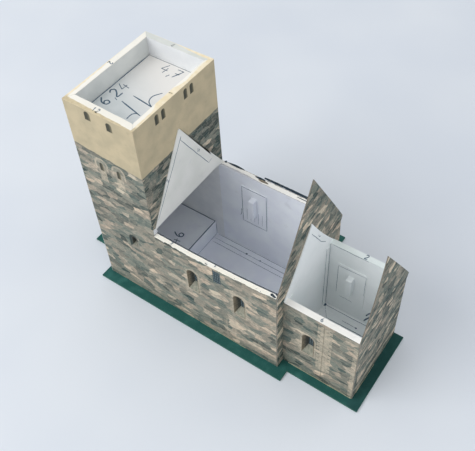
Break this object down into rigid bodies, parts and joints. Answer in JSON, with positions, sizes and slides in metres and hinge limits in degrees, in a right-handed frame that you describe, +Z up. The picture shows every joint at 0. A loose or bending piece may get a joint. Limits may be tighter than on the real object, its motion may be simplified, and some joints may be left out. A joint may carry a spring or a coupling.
{
  "type": "card model church",
  "caption": "Roofless card model of a small stone church: square west tower, nave, lower narrower chancel, printed stone walls with splayed windows, on a green base card.",
  "frame": {"origin": "centre of the bounding box at the underside of the base card", "axes": "+Z up, +X east from the tower to the chancel (the longest side), +Y north"},
  "size_m": [0.1898, 0.1034, 0.134],
  "materials": {
    "green_card": "matte dark green card",
    "grey_board": "plain uncoated board",
    "stone_print": "printed rubble stone and plaster",
    "white_card": "matte white card",
    "white_tab": "matte white paper",
    "window_lining": "printed paper",
    "roof_paper": "torn dark printed paper"
  },
  "bodies": {
    "root": {"base_plate": "green_card", "tower_south_wall": "grey_board", "tower_north_wall": "grey_board", "tower_west_wall": "grey_board", "tower_east_wall": "grey_board", "nave_south_wall": "grey_board", "nave_north_wall": "grey_board", "chancel_south_wall": "grey_board", "chancel_north_wall": "grey_board", "south_printed_sheet": "stone_print", "north_printed_sheet": "stone_print", "tower_west_sheet": "stone_print", "tower_east_sheet": "stone_print", "chancel_south_sheet": "stone_print", "chancel_north_sheet": "stone_print", "nave_east_gable": "stone_print", "chancel_east_gable": "stone_print", "nave_west_gable": "white_card", "chancel_west_gable": "white_card", "tower_deck": "white_card", "tower_foot_box": "white_card", "nave_floor": "white_card", "chancel_floor": "white_card", "nave_south_window_backings": "white_card", "nave_north_window_backing": "white_card", "chancel_south_window_backing": "white_card", "chancel_north_window_backing": "white_card", "tower_slit_backing": "white_card", "tower_rim_tab_south": "white_tab", "tower_rim_tab_east": "white_tab", "tower_rim_tab_north": "white_tab", "tower_rim_tab_west": "white_tab", "nave_south_top_tab": "white_tab", "nave_north_top_tab": "white_tab", "chancel_south_top_tab": "white_tab", "chancel_north_top_tab": "white_tab", "nave_floor_tabs": "white_tab", "chancel_floor_tabs": "white_tab", "chancel_corner_tabs": "white_tab", "nave_south_window_linings": "window_lining", "nave_north_window_lining": "window_lining", "chancel_south_window_lining": "window_lining", "chancel_north_window_lining": "window_lining", "tower_slit_lining": "window_lining", "nave_north_roof_scraps": "roof_paper"}
  },
  "joints": []
}
